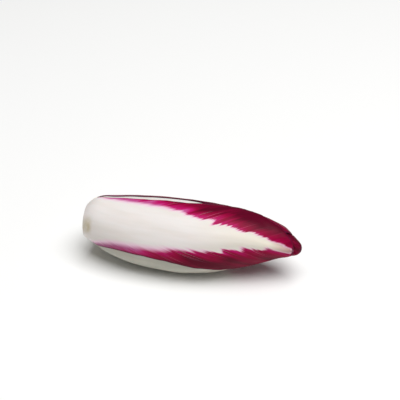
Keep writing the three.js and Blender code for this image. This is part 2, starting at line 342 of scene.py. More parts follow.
def lay_out(index, foot, tip, limit, rows, columns):
    """A leaf's grid of stations and angles, and the distances of its points on the leaf laid flat."""
    even = np.linspace(0, 1, rows + 1)[:, None]
    share = even - CROWDING * np.sin(2 * np.pi * even) / (2 * np.pi)
    station = foot + (tip - foot) * share
    middle = midrib_angle(index, station)
    size = 1 - LEAF_SHRINKAGE * index
    radius = np.maximum(head_radius(station) - sample(limit, station, middle), SLIMMEST_TIP)
    half_angle = np.minimum(np.degrees(leaf_half_width(share) * size / radius), WIDEST_WRAP)
    half_width = np.radians(half_angle) * radius

    even_across = np.linspace(-1, 1, columns + 1)[None, :]
    across_share = (1 - CROWDING) * even_across + CROWDING * np.sin(np.pi * even_across / 2)
    side = np.sign(across_share)
    ragged = 1
    for seed, length, swing, first, last in MARGIN_WAVES:
        seeds = seed + index + UPPER_HALF_SEED * (side > 0)
        ragged = ragged + swing * wander(station, seeds, length) * smooth_step(first, last, station)
    for half, reach in ((-1, lower_reach), (1, upper_reach)):
        if index in reach:
            further = np.maximum(1 + reach[index](share) / half_width, LEAST_REACH)
            ragged = ragged * np.where(side == half, further, 1)
    ragged = np.minimum(ragged, WIDEST_WRAP / half_angle)

    across = half_width * across_share * ragged
    margin = half_width * ragged * (1 - np.abs(across_share))
    to_tip = (tip - station) * np.ones_like(across)
    grid_station = station * np.ones_like(across)
    return SimpleNamespace(
        index=index, size=size, share=share, across_share=across_share, row_station=station,
        station=grid_station, angle=middle + half_angle * across_share * ragged,
        across=across, along=grid_station - foot, margin=margin, to_tip=to_tip,
        edge=np.minimum(margin, to_tip),
    )


print("margins wave by a share of:", [swing for _, _, swing, _, _ in MARGIN_WAVES])

# %% [markdown]
# ## Rib and blade
# A leaf is a fleshy rib with a thin blade on either side. The rib swells the leaf inwards and thins out
# towards the tip, and the blade dips between the rib and its margin. The white of the rib reaches a little
# into the blade, further in its lower half near the butt, and gives way to the pigment before the tip. Side
# veins leave the rib forwards, so a point's vein is told by where it would leave the rib, along the leaf.

# %% Rib, white and side veins
rib_half_width = curve_through((0, 13), (0.1, 16), (0.25, 16.5), (0.5, 12), (0.75, 6.5), (1, 1.5))
upper_white = curve_through(
    (0, 18), (0.13, 17.8), (0.27, 18.1), (0.36, 17.8), (0.47, 16.6), (0.58, 12.2), (0.65, 10.4),
    (0.75, 7.6), (0.84, 6.1), (0.9, 4.2), (0.96, 3.2), (0.99, 1.6), (1, 0.2),
)
lower_white = curve_through(
    (0, 24), (0.05, 21.8), (0.1, 17.6), (0.15, 15.6), (0.22, 14.4), (0.36, 13.6), (0.43, 12.8),
    (0.52, 10.8), (0.66, 10.2), (0.735, 6.2), (0.83, 4.8), (0.89, 1.9), (0.95, 2.4), (0.985, 2.2), (1, 0.2),
)
TIP_FLUSH = 9.0
TIP_FLUSH_SHARES = (0.7, 0.88)
THIRD_LEAF_WHITER = 6.0
THIRD_LEAF_WHITER_SHARES = (0.75, 0.55)
UPPER_VEIN_RUN = 1.3
LOWER_VEIN_RUN = 1.9
RIB_PATTERN_REACH = 6.0


def rib_crown(leaf):
    """1 on the midrib, 0 beside the rib."""
    return (1 - np.minimum(np.abs(leaf.across) / (rib_half_width(leaf.share) * leaf.size), 1) ** 2) ** 2


def beyond_white(leaf):
    """How far a point lies beyond the border of the white, across the leaf."""
    white = np.where(leaf.across > 0, upper_white(leaf.share), lower_white(leaf.share)) * leaf.size
    if leaf.index > 0:
        white = white - TIP_FLUSH * smooth_step(*TIP_FLUSH_SHARES, leaf.share)
    if leaf.index == THIRD_LEAF:
        white = white + THIRD_LEAF_WHITER * smooth_step(*THIRD_LEAF_WHITER_SHARES, leaf.share)
    return np.abs(leaf.across) - white


def vein_place(leaf):
    """Where the side vein through a point would leave the rib, along the leaf."""
    beside_rib = np.abs(leaf.across) - rib_half_width(leaf.share) * leaf.size
    run = np.where(leaf.across > 0, UPPER_VEIN_RUN, LOWER_VEIN_RUN)
    return leaf.along - np.maximum(beside_rib, -RIB_PATTERN_REACH) * run


print("white of the lower half at foot, middle and tip, mm:", lower_white(np.array([0, 0.5, 1])).round(1))

# %% [markdown]
# ## Its outer face
# The face follows the shells outside it, dips in the blade and curls in at the very tip, most of all where
# the fourth leaf and those inside it close the head. It stays above the floor on which the head lies.

# %% Outer face
CLOSING_LEAF = 3
BLADE_HOLLOW = 0.9
INNER_BLADE_HOLLOW = 0.25
HOLLOW_SHARES = (0.25, 0.8)
HOLLOW_WIDTH = 9
# How far a tip curls in, and over what length.
OUTER_TIP_CURL = (1.2, 2.5)
CLOSING_TIP_CURL = (2.5, 3.8)
INNER_TIP_CURL = (3.4, 4.5)
FLOOR_CLEARANCE = 0.08
AXIS_CLEARANCE = 0.8


def tip_curl(index):
    if index == CLOSING_LEAF:
        return CLOSING_TIP_CURL
    return OUTER_TIP_CURL if index < CLOSING_LEAF else INNER_TIP_CURL


def outer_depth(leaf, limit):
    hollow = BLADE_HOLLOW if leaf.index < CLOSING_LEAF else INNER_BLADE_HOLLOW
    hollow = hollow * smooth_step(*HOLLOW_SHARES, leaf.share) * (1 - leaf.crown)
    hollow = hollow * smooth_step(0, HOLLOW_WIDTH, leaf.margin)
    outer = sample(limit, leaf.station, leaf.angle) + hollow
    curl, curl_length = tip_curl(leaf.index)
    curled = np.clip(1 - leaf.to_tip / curl_length, 0, 1)
    outer = outer + curl * (1 - np.sqrt(1 - curled ** 2))
    outer = np.maximum(outer, floor_depth(leaf.station, leaf.angle) + FLOOR_CLEARANCE)
    return np.minimum(outer, head_radius(leaf.station) - AXIS_CLEARANCE)


print("the closing tip curls in by", CLOSING_TIP_CURL[0], "mm over its last", CLOSING_TIP_CURL[1], "mm")

# %% [markdown]
# ## Its inner face
# The blade is under a millimetre thick and thins out at the margin, and the rib is several millimetres
# thick. At the foot the leaf grows into the stem, so there its inner face lies on the stem.

# %% Inner face
BLADE_THICKNESS = 0.75
# Each leaf that lies outside a leaf makes its rib this share thinner.
RIB_SHRINKAGE = 0.045
MARGIN_THINNING = 5.0
MARGIN_THINNED = 0.5
STEM_REACH = STEM_LENGTH + 2
STEM_GAP = 0.1
SLIMMEST_HEART = 0.4
GROWN_IN = (7, 1.5)
GROWN_IN_SHARE = 1.2
LEAST_THICKNESS = 0.25
rib_thickness = curve_through((0, 2.4), (0.1, 3.8), (0.3, 3.6), (0.6, 2.5), (1, 0.9))
stem_radius = curve_through((0, 8.4), (4, 9), (12, 8.4), (24, 6.2), (38, 3.6), (STEM_LENGTH, 1.8))


def inner_depth(leaf):
    rib = np.maximum(rib_thickness(leaf.share) * (1 - RIB_SHRINKAGE * leaf.index), BLADE_THICKNESS)
    steep = np.where(leaf.row_station > HEAD_LENGTH / 2, steepness(leaf.row_station), 1.0)
    left_at_margin = 1 - MARGIN_THINNED * smooth_step(MARGIN_THINNING, 0, leaf.margin)
    thickness = (BLADE_THICKNESS + (rib - BLADE_THICKNESS) * leaf.crown) * steep * left_at_margin
    stem = np.where(leaf.station < STEM_REACH, stem_radius(leaf.station) + STEM_GAP, SLIMMEST_HEART)
    deepest = head_radius(leaf.station) - stem
    inner = np.minimum(leaf.outer + thickness, deepest)
    rooted = np.clip(GROWN_IN_SHARE - np.abs(leaf.across_share), 0, 1)
    inner = inner + (deepest - inner) * (smooth_step(*GROWN_IN, leaf.along) * rooted)
    return np.maximum(inner, leaf.outer + LEAST_THICKNESS)


print("rib thickness at foot, middle and tip, mm:", rib_thickness(np.array([0, 0.5, 1])).round(1))

# %% [markdown]
# ## Rounding it off
# Nothing on a leaf ends square. The faces draw together in a bevel at every edge, thin out towards the
# tip, and lift off what they lie on along the margins, a little more here and less there.

# %% Rounded faces of a whole leaf
BEVEL_RADIUS = 0.55
BEVEL_LEFT = 0.15
TIP_THINNING = 6.0
TIP_THINNED = 0.5
MARGIN_LIFT = 0.12
LIFT_WIDTH = 2.5
LIFT_STATIONS = (50, 100)
LIFT_SEED = 120
LIFT_LENGTH = 31
STEADY_LIFT = 0.6
INNER_LIFT = 0.8


def round_off(leaf):
    """Adds the two faces as they show, with lifted margins and rounded edges."""
    waves = STEADY_LIFT + (1 - STEADY_LIFT) * wander(leaf.station, LIFT_SEED + leaf.index, LIFT_LENGTH)
    lift = -MARGIN_LIFT * np.exp(-leaf.margin / LIFT_WIDTH) * waves
    lift = lift * smooth_step(*LIFT_STATIONS, leaf.station)
    from_edge = np.clip(leaf.edge / BEVEL_RADIUS, 0.0, 1.0)
    bevel = np.sqrt(1 - (1 - from_edge) ** 2) * (1 - BEVEL_LEFT) + BEVEL_LEFT
    centre = (leaf.outer + leaf.inner) / 2
    thinned = TIP_THINNED * (leaf.inner - leaf.outer) * smooth_step(TIP_THINNING, 0, leaf.to_tip)
    leaf.outer_face = centre + (leaf.outer - centre) * bevel + lift + thinned * bevel
    leaf.inner_face = centre + (leaf.inner - centre) * bevel + lift * INNER_LIFT


def grow_leaf(index, foot, tip, limit, rows, columns):
    leaf = lay_out(index, foot, tip, limit, rows, columns)
    leaf.blade = beyond_white(leaf)
    leaf.crown = rib_crown(leaf)
    leaf.vein = vein_place(leaf)
    leaf.outer = outer_depth(leaf, limit)
    leaf.inner = inner_depth(leaf)
    round_off(leaf)
    return leaf


print("edges are rounded to a radius of", BEVEL_RADIUS, "mm")

# %% [markdown]
# ## Marking what a leaf has taken
# Once a leaf lies in place, the map is lowered to its inner face, and a thin gap below that, so that the
# next leaf finds its room.

# %% Taking room on the map
LEAF_GAP = 0.1


def take(leaf):
    """Marks on the map what the leaf has taken, with the gap inside it."""
    stations = leaf.row_station.ravel()
    for row, at in enumerate(MAP_STATIONS):
        if at < stations[0] - 1 or at > stations[-1] + 1:
            continue
        spot = np.interp(at, stations, np.arange(len(stations)))
        low = min(int(spot), len(stations) - 2)
        part = spot - low
        angle = leaf.angle[low] * (1 - part) + leaf.angle[low + 1] * part
        depth = leaf.inner[low] * (1 - part) + leaf.inner[low + 1] * part
        middle = (angle[0] + angle[-1]) / 2
        near = middle + np.mod(MAP_ANGLES - middle + 180, 360) - 180
        covered = (near >= angle[0] - SECTOR_STEP) & (near <= angle[-1] + SECTOR_STEP)
        reached = np.interp(near, angle, depth) + LEAF_GAP * steepness(at)
        taken[row] = np.where(covered, np.maximum(taken[row], reached), taken[row])


print("air between two leaves, mm:", LEAF_GAP)

# %% [markdown]
# ## From grids to a closed mesh
# The two faces of a leaf are grids of points, and a strip along each margin, the foot and the tip joins
# them, so that the leaf is one closed skin with real thickness. Its points carry the distances that the
# relief and the colours need: how far across the leaf, how far along, how far beyond the white rib, how
# far from the margin and which side vein they lie on.

# %% Leaf mesh
CARRIED = ("across", "along", "blade", "edge", "vein")


def smooth_mesh(name, points, faces, carried):
    mesh = bpy.data.meshes.new(name)
    mesh.from_pydata(points.tolist(), [], faces)
    mesh.polygons.foreach_set("use_smooth", np.ones(len(faces), dtype=bool))
    for key, values in carried.items():
        mesh.attributes.new(key, "FLOAT", "POINT").data.foreach_set("value", values.astype(np.float32))
    mesh.update()
    return mesh


def quads(*corners):
    return np.stack([corner.ravel() for corner in corners], axis=1)


def leaf_mesh(name, leaf):
    outer = head_points(leaf.station, leaf.angle, leaf.outer_face)
    inner = head_points(leaf.station, leaf.angle, leaf.inner_face)
    rows, columns = leaf.station.shape
    above = np.arange(rows * columns).reshape(rows, columns)
    below = above + rows * columns
    faces = np.concatenate([
        quads(above[:-1, :-1], above[1:, :-1], above[1:, 1:], above[:-1, 1:]),
        quads(below[:-1, :-1], below[:-1, 1:], below[1:, 1:], below[1:, :-1]),
        quads(above[:-1, 0], below[:-1, 0], below[1:, 0], above[1:, 0]),
        quads(above[:-1, -1], above[1:, -1], below[1:, -1], below[:-1, -1]),
        quads(above[0, :-1], above[0, 1:], below[0, 1:], below[0, :-1]),
        quads(above[-1, :-1], below[-1, :-1], below[-1, 1:], above[-1, 1:]),
    ])
    points = np.concatenate([outer.reshape(-1, 3), inner.reshape(-1, 3)])
    carried = {key: np.tile(getattr(leaf, key).ravel(), 2) for key in CARRIED}
    return smooth_mesh(name, points, faces.tolist(), carried)


print("a leaf's points carry:", ", ".join(CARRIED))

# %% [markdown]
# ## Relief: fibres in the rib, veins in the blade
# A chicory rib has long soft ridges where its fibres run, and its blade has side veins that stand a little
# proud and run forwards to the margin. Both repeat along the leaf, so a Geometry Nodes tree raises them
# from the distances that the points carry. Its sizes are named inputs, in millimetres, and the seed shifts
# the pattern from leaf to leaf.

# %% Starting a tree
RELIEF_SIZES = {
    "Ridge spacing": 5.0, "Ridge height": 0.09, "Vein spacing": 6.5, "Vein height": 0.1, "Seed": 0.0,
}


def new_geometry_tree(name, sizes):
    """A Geometry Nodes tree with a geometry in, a geometry out and a named input for each size."""
    tree = bpy.data.node_groups.new(name, "GeometryNodeTree")
    for way in ("INPUT", "OUTPUT"):
        tree.interface.new_socket("Geometry", in_out=way, socket_type="NodeSocketGeometry")
    for label, value in sizes.items():
        size = tree.interface.new_socket(label, in_out="INPUT", socket_type="NodeSocketFloat")
        size.default_value = value
    return tree


print("relief, mm:", RELIEF_SIZES)

# %% Relief tree
RIDGE_TURNS_PER_MM = 0.012
WOBBLE_TURNS_PER_MM = 0.09
WOBBLE_REACH = 7.0
VEIN_HALF_WIDTH = 0.3
# Each pair says where a relief sets in, in mm: beyond the white for ridges and veins, then off the margin.
RIDGES_FROM = (3.0, -3.0)
VEINS_FROM = (-1.0, 3.0)
VEINS_OFF_MARGIN = (0.5, 5.0)


def relief_tree(material):
    tree = new_geometry_tree("leaf relief", RELIEF_SIZES)
    given = add(tree, "NodeGroupInput").outputs
    carried = {name: add(tree, "GeometryNodeInputNamedAttribute", {"Name": name}) for name in CARRIED}

    # Ridges: a noise that is stretched along the rib, so that its cells become long soft fibres.
    across_turns = add(tree, "ShaderNodeMath",
                       [carried["across"], given["Ridge spacing"]], operation="DIVIDE")
    along_turns = add(tree, "ShaderNodeMath", [carried["along"], RIDGE_TURNS_PER_MM], operation="MULTIPLY")
    ridge_place = add(tree, "ShaderNodeCombineXYZ", [across_turns, along_turns, given["Seed"]])
    ridge_noise = add(tree, "ShaderNodeTexNoise", {"Vector": ridge_place, "Scale": 1.0, "Detail": 1.0})
    ridge_mask = add(tree, "ShaderNodeMapRange",
                     [carried["blade"], *RIDGES_FROM], interpolation_type="SMOOTHSTEP")
    ridge_level = add(tree, "ShaderNodeMath", [ridge_noise, 0.5], operation="SUBTRACT")
    ridge_size = add(tree, "ShaderNodeMath", [ridge_level, given["Ridge height"]], operation="MULTIPLY")
    ridge = add(tree, "ShaderNodeMath", [ridge_size, ridge_mask], operation="MULTIPLY")

    # Veins: one crest every vein spacing, pushed about by noise so that no two are quite alike.
    wobble_place = add(tree, "ShaderNodeCombineXYZ", [carried["vein"], carried["across"], given["Seed"]])
    wobble = add(tree, "ShaderNodeTexNoise",
                 {"Vector": wobble_place, "Scale": WOBBLE_TURNS_PER_MM, "Detail": 2.0})
    wobbled = add(tree, "ShaderNodeMath", [wobble, WOBBLE_REACH, carried["vein"]], operation="MULTIPLY_ADD")
    vein_turns = add(tree, "ShaderNodeMath", [wobbled, given["Vein spacing"]], operation="DIVIDE")
    vein_saw = add(tree, "ShaderNodeMath", [vein_turns, 1.0], operation="PINGPONG")
    vein = add(tree, "ShaderNodeMapRange",
               [vein_saw, VEIN_HALF_WIDTH, 0.0], interpolation_type="SMOOTHSTEP")
    for distance, places in ((carried["blade"], VEINS_FROM), (carried["edge"], VEINS_OFF_MARGIN)):
        mask = add(tree, "ShaderNodeMapRange", [distance, *places], interpolation_type="SMOOTHSTEP")
        vein = add(tree, "ShaderNodeMath", [vein, mask], operation="MULTIPLY")
    vein = add(tree, "ShaderNodeMath", [vein, given["Vein height"]], operation="MULTIPLY")

    height = add(tree, "ShaderNodeMath", [ridge, vein], operation="ADD")
    height_m = add(tree, "ShaderNodeMath", [height, MM], operation="MULTIPLY")
    normal = add(tree, "GeometryNodeInputNormal")
    offset = add(tree, "ShaderNodeVectorMath", {0: normal, "Scale": height_m}, operation="SCALE")
    raised = add(tree, "GeometryNodeSetPosition", {"Geometry": given["Geometry"], "Offset": offset})
    real = add(tree, "GeometryNodeRealizeInstances", {"Geometry": raised})
    painted = add(tree, "GeometryNodeSetMaterial", {"Geometry": real, "Material": material})
    add(tree, "NodeGroupOutput", {"Geometry": painted})
    return tree


print("a ridge is about", round(1 / RIDGE_TURNS_PER_MM), "mm long")

# %% [markdown]
# ## Turning a tree's result into a plain piece
# A modifier's inputs go by their identifiers, and they are set before the object is looked at for the first
# time. The result is copied out as a mesh of its own, and the helper with its modifier goes.

# %% Plain pieces
def as_plain_piece(name, source, tree, values):
    """Runs a tree on a mesh and returns the plain result as a piece of the object."""
    helper = new_object(name + " source", source)
    modifier = helper.modifiers.new("nodes", "NODES")
    modifier.node_group = tree
    sockets = {item.name: item.identifier for item in tree.interface.items_tree if item.in_out == "INPUT"}
    for label, value in values.items():
        modifier[sockets[label]] = value
    evaluated = helper.evaluated_get(bpy.context.evaluated_depsgraph_get())
    mesh = bpy.data.meshes.new_from_object(evaluated)
    mesh.name = name
    bpy.data.objects.remove(helper)
    return new_object(name, mesh)


# %% [markdown]
# ## Patterns and layers of colour
# A leaf is living tissue under a thin wax: pearly white and slightly see-through in the rib, with a red
# pigment in the skin of the blade. A picture could be wrapped round each leaf, but it would blur close up.
# Here the colours follow the distances that the points carry, so the pattern grows with the leaf. Two
# things come back in most finishes: a noise with cells of a given size, and layers of colour.

# %% Cells and layers
# The colour inputs and the colour output of a Mix node that mixes colours.
MIX_UNDER, MIX_OVER, MIX_RESULT = 6, 7, 2
# A leaf's lower half passes into its upper one between these distances from the midrib, in mm.
HALVES = (-4.0, 4.0)


def cells(tree, place, width, length, detail):
    """A noise between 0 and 1, with cells that wide across the veins or fibres and that long along them."""
    per_mm = (1 / width, 1 / length, 1.0)
    stretched = add(tree, "ShaderNodeVectorMath", [place, per_mm], operation="MULTIPLY")
    return add(tree, "ShaderNodeTexNoise", {"Vector": stretched, "Scale": 1.0, "Detail": detail})


def layered(tree, colour, *layers):
    """Colours laid over a first one in turn, each by its amount from 0 to 1."""
    for amount, over in layers:
        mix = add(tree, "ShaderNodeMix", {0: amount, MIX_UNDER: colour, MIX_OVER: over}, data_type="RGBA")
        colour = mix.outputs[MIX_RESULT]
    return colour


print("the halves of a leaf differ beyond, mm:", HALVES)

# %% [markdown]
# ## Where the pigment starts
# The pigment creeps in between the side veins, so its border is feathered along them: soft near the butt,
# and in sharp flames near the tip. The border is the carried distance beyond the white rib, pushed about by
# two noises that are long along a vein and narrow across it. One makes the flames, and one splits them into
# streaks. Here and below, four numbers in a row are a ramp: the two places between which something changes,
# in millimetres or in levels of a noise, and its amount at each. Two numbers are the places alone.

# %% Border of the pigment
# Widths and lengths of the cells, and how far they push the border, in mm.
FLAME_WIDTH = 8.0
FLAME_LENGTH = 60.0
FLAME_REACH = 12.0
STREAK_WIDTH = 1.7
STREAK_LENGTH = 30.0
STREAK_REACH = 7.0
UPPER_SOFT_BORDER = 2.6
LOWER_SOFT_BORDER = 3.4
SHARP_BORDER = 1.1
BASE_TO_TIP = (50.0, 95.0)
BASE_FEATHERING = 0.2
CALMER_TIP = (112.0, 134.0, 1.0, 0.3)
# The pattern is another one on each leaf, and on each side of its midrib.
PATTERN_SEAM = (2.0, -2.0)
PATTERN_STEP = 3.7
PATTERN_SHIFT = 1.6


def pigment_border(tree, carried, seed):
    """The pattern's place, and how far a point lies beyond the border: in mm, and in border widths."""
    pattern = seed * PATTERN_STEP
    half = add(tree, "ShaderNodeMapRange",
               [carried["across"], *PATTERN_SEAM, pattern, pattern + PATTERN_SHIFT])
    place = add(tree, "ShaderNodeCombineXYZ", [carried["vein"], carried["blade"], half])
    tipward = add(tree, "ShaderNodeMapRange", [carried["along"], *BASE_TO_TIP, BASE_FEATHERING, 1.0])
    calmer = add(tree, "ShaderNodeMapRange", [carried["along"], *CALMER_TIP])
    feathering = add(tree, "ShaderNodeMath", [tipward, calmer], operation="MULTIPLY")
    pushed = carried["blade"]
    for width, length, reach, detail in (
        (FLAME_WIDTH, FLAME_LENGTH, FLAME_REACH, 1.0),
        (STREAK_WIDTH, STREAK_LENGTH, STREAK_REACH, 2.0),
    ):
        noise = cells(tree, place, width, length, detail)
        level = add(tree, "ShaderNodeMath", [noise, 0.5], operation="SUBTRACT")
        local_reach = add(tree, "ShaderNodeMath", [feathering, reach], operation="MULTIPLY")
        pushed = add(tree, "ShaderNodeMath", [level, local_reach, pushed], operation="MULTIPLY_ADD")
    softest = add(tree, "ShaderNodeMapRange",
                  [carried["across"], *HALVES, LOWER_SOFT_BORDER, UPPER_SOFT_BORDER])
    softness = add(tree, "ShaderNodeMapRange", [carried["along"], *BASE_TO_TIP, softest, SHARP_BORDER])
    beyond = add(tree, "ShaderNodeMath", [pushed, softness], operation="DIVIDE")
    return place, pushed, beyond


print("flames, mm:", FLAME_WIDTH, "by", FLAME_LENGTH, "and streaks, mm:", STREAK_WIDTH, "by", STREAK_LENGTH)

# %% [markdown]
# ## The pigment itself
# A thin layer of pigment looks lilac or magenta over white flesh, and a thick one deep red. The layer
# thickens away from the rib and towards the tip, in clouds that follow the veins. In the lower half it
# fades again towards the tip, as painted light, and near the foot it is mixed with a darker, greyer mauve,
# as painted shade.

# %% Pigment colour
LILAC = srgb("C0508F")
MAGENTA = srgb("BE1468")
CRIMSON = srgb("950038")
DEEP_RED = srgb("5C0020")
# Painted shade: a darker, greyer mauve mixed into the lower half near the foot.
SHADED_MAUVE = srgb("8A5C74")
# The layer's depth runs from 0, lilac, to 1, deep red.
MAGENTA_AT = 0.22
CRIMSON_AT = 0.55
CLOUD_WIDTH = 6.0
CLOUD_LENGTH = 24.0
CLOUD_LEVELS = (0.3, 0.7, -0.5, 0.5)
CLOUD_DEPTH = (92.0, 118.0, 0.6, 0.34)
# Along the border the layer is thinnest, but less so near the tip in the lower half.
LOWER_TIP_PIGMENT = 0.32
TIP_DEEPENS = (98.0, 116.0)
OUTWARD = (0.0, 10.0)
OUTER_PIGMENT = 0.75
# Where along the leaf it is deepest. In the lower half it fades beyond that, as painted light on the lower
# side near the tip.
UPPER_DEEPEST = 125.0
LOWER_DEEPEST = 84.0
LOWER_FADED_FROM = 112.0
LOWER_FADED = 0.32
TIPWARD_FROM = 30.0
BASE_PIGMENT = -0.15
TIP_PIGMENT = 0.42
# Painted shade on the lower half near the foot: its amount, and the stations between which it fades out, in
# mm.
FOOT_SHADE = 0.62
FOOT_SHADE_ENDS = (50.0, 20.0)


def pigment_colour(tree, carried, place, pushed):
    clouds = cells(tree, place, CLOUD_WIDTH, CLOUD_LENGTH, 4.0)
    cloud_depth = add(tree, "ShaderNodeMapRange", [carried["along"], *CLOUD_DEPTH])
    cloud_level = add(tree, "ShaderNodeMapRange", [clouds, *CLOUD_LEVELS])
    cloud = add(tree, "ShaderNodeMath", [cloud_level, cloud_depth], operation="MULTIPLY")
    border_depth = add(tree, "ShaderNodeMapRange", [carried["across"], *HALVES, LOWER_TIP_PIGMENT, 0.0])
    thinnest = add(tree, "ShaderNodeMapRange", [carried["along"], *TIP_DEEPENS, 0.0, border_depth])
    outward = add(tree, "ShaderNodeMapRange", [pushed, *OUTWARD, thinnest, OUTER_PIGMENT])
    deepest = add(tree, "ShaderNodeMapRange", [carried["across"], *HALVES, LOWER_DEEPEST, UPPER_DEEPEST])
    tipward = add(tree, "ShaderNodeMapRange",
                  [carried["along"], TIPWARD_FROM, deepest, BASE_PIGMENT, TIP_PIGMENT])
    # Painted light: the lower half's pigment thins towards the tip.
    faded = add(tree, "ShaderNodeMapRange", [carried["across"], *HALVES, -LOWER_FADED, 0.0])
    fading = add(tree, "ShaderNodeMapRange",
                 [carried["along"], LOWER_DEEPEST, LOWER_FADED_FROM, 0.0, faded])
    lengthways = add(tree, "ShaderNodeMath", [tipward, fading], operation="ADD")
    thicker = add(tree, "ShaderNodeMath", [outward, lengthways], operation="ADD")
    thickness = add(tree, "ShaderNodeMath", [thicker, cloud], operation="ADD")
    pigment = add(tree, "ShaderNodeValToRGB", {"Fac": thickness})
    ramp = pigment.color_ramp
    ramp.elements[0].position, ramp.elements[0].color = 0.0, LILAC
    ramp.elements[1].position, ramp.elements[1].color = 1.0, DEEP_RED
    ramp.elements.new(MAGENTA_AT).color = MAGENTA
    ramp.elements.new(CRIMSON_AT).color = CRIMSON
    # Painted shade on the lower half near the foot.
    lower_foot_shade = add(tree, "ShaderNodeMapRange", [carried["across"], *reversed(HALVES), 0.0, FOOT_SHADE])
    painted_shade = add(tree, "ShaderNodeMapRange", [carried["along"], *FOOT_SHADE_ENDS, 0.0, lower_foot_shade])
    return layered(tree, pigment, (painted_shade, SHADED_MAUVE))


print("pigment deepest from, mm:", LOWER_DEEPEST, "in the lower half,", UPPER_DEEPEST, "in the upper one")

# %% [markdown]
# ## The flesh under it
# The rib is white with faint long fibres and mottles, creamier towards the tip, and a little rosy where the
# tip is bruised. Where it was cut from the root, the air has browned it: a tan stain beside the midrib that
# fades within a few millimetres.

# %% Stain at the foot
# Places along the leaf and across it, in mm, and the share that shows where the stain starts. It lies
# beside the midrib, now on one side and now on the other.
STAIN_START = 1.0
STAIN_MIDDLE = 4.5
STAIN_END = 9.0
STAIN_FIRST = 0.6
STAIN_SIDE = -7.0
STAIN_TURN = 2.6
STAIN_HALF_WIDTH = 9.0
STAIN_CORE = 1.0
# Blots of about 3 mm.
BLOTS_PER_MM = 0.3
BLOT_LEVELS = (0.3, 0.6, 0.35, 0.7)


def stain_amount(tree, carried, place, seed):
    stain_side = STAIN_SIDE * math.cos(STAIN_TURN * seed)
    aside = add(tree, "ShaderNodeMath", [carried["across"], stain_side], operation="SUBTRACT")
    off_centre = add(tree, "ShaderNodeMath", [aside], operation="ABSOLUTE")
    sideways = add(tree, "ShaderNodeMapRange",
                   [off_centre, STAIN_HALF_WIDTH, STAIN_CORE], interpolation_type="SMOOTHSTEP")
    fading = add(tree, "ShaderNodeMapRange",
                 [carried["along"], STAIN_END, STAIN_MIDDLE], interpolation_type="SMOOTHSTEP")
    starting = add(tree, "ShaderNodeMapRange",
                   [carried["along"], STAIN_START, STAIN_MIDDLE, STAIN_FIRST, 1.0])
    lengthways = add(tree, "ShaderNodeMath", [fading, starting], operation="MULTIPLY")
    blots = add(tree, "ShaderNodeTexNoise", {"Vector": place, "Scale": BLOTS_PER_MM, "Detail": 3.0})
    blot = add(tree, "ShaderNodeMapRange", [blots, *BLOT_LEVELS])
    spot = add(tree, "ShaderNodeMath", [sideways, lengthways], operation="MULTIPLY")
    return add(tree, "ShaderNodeMath", [spot, blot], operation="MULTIPLY")


print("the foot's stain fades between, mm:", STAIN_MIDDLE, "and", STAIN_END)

# %% Flesh colour
PEARL_SHADE = srgb("E0DDD8")
MOTTLE_TAN = srgb("D3C6B4")
CREAM = srgb("E6DECA")
STAIN_TAN = srgb("BFAE7E")
TIP_ROSE = srgb("AC7478")
FIBRE_WIDTH = 2.6
FIBRE_LENGTH = 60.0
FIBRE_LEVELS = (0.42, 0.72, 0.0, 0.3)
MOTTLE_WIDTH = 7.0
MOTTLE_LENGTH = 40.0
MOTTLE_LEVELS = (0.42, 0.75, 0.0, 0.3)
FLESH_STEP = 1.9
CREAMIER = (75.0, 140.0, 0.0, 0.9)
ROSY_EDGE = (16.0, 0.6, 0.0, 0.9)
ROSY_TIP = (110.0, 130.0)


def flesh_colour(tree, carried, seed, flesh):
    """The colour of the flesh, and the fibres, which the gloss follows too."""
    place = add(tree, "ShaderNodeCombineXYZ", [carried["across"], carried["along"], seed * FLESH_STEP])
    fibres = cells(tree, place, FIBRE_WIDTH, FIBRE_LENGTH, 4.0)
    fibre = add(tree, "ShaderNodeMapRange", [fibres, *FIBRE_LEVELS])
    mottles = cells(tree, place, MOTTLE_WIDTH, MOTTLE_LENGTH, 2.0)
    mottle = add(tree, "ShaderNodeMapRange", [mottles, *MOTTLE_LEVELS])
    creamy = add(tree, "ShaderNodeMapRange", [carried["along"], *CREAMIER])
    stain = stain_amount(tree, carried, place, seed)
    at_edge = add(tree, "ShaderNodeMapRange", [carried["edge"], *ROSY_EDGE])
    at_tip = add(tree, "ShaderNodeMapRange", [carried["along"], *ROSY_TIP])
    rosy = add(tree, "ShaderNodeMath", [at_edge, at_tip], operation="MULTIPLY")
    colour = layered(tree, flesh, (mottle, MOTTLE_TAN), (fibre, PEARL_SHADE), (creamy, CREAM),
                     (stain, STAIN_TAN), (rosy, TIP_ROSE))
    return colour, fibres


print("fibres, mm:", FIBRE_WIDTH, "by", FIBRE_LENGTH, "and mottles, mm:", MOTTLE_WIDTH, "by", MOTTLE_LENGTH)

# %% [markdown]
# ## Hair lines and the margin's line
# Close up, the finest side veins cross the pigment as pale hair lines, which die away towards the tip. A
# thin dark line of painted shade runs along the margin, where it lies on the leaf under it, wider in the
# lower half. It starts a little way above the foot.

# %% Hair lines and margin line
# Only the crests of these cells show, so a line is much finer than its cell.
HAIR_WIDTH = 0.8
HAIR_LENGTH = 34.0
HAIR_LEVELS = (0.66, 0.74)
HAIR_FADES = (10.0, 0.5, 0.0, 0.75)
HAIR_CALMS = (94.0, 115.0)
LOWER_TIP_HAIR = 0.4
UPPER_TIP_HAIR = 0.15
# The margin's painted shade: its width in each half, its fade, and where along the leaf it sets in, in mm.
UPPER_RIM_WIDTH = 1.0
LOWER_RIM_WIDTH = 1.6
RIM_FADES = (1.0, 0.6, 0.0, 0.8)
RIM_START = 4.0
LOWER_RIM_FULL = 12.0
UPPER_RIM_FULL = 26.0


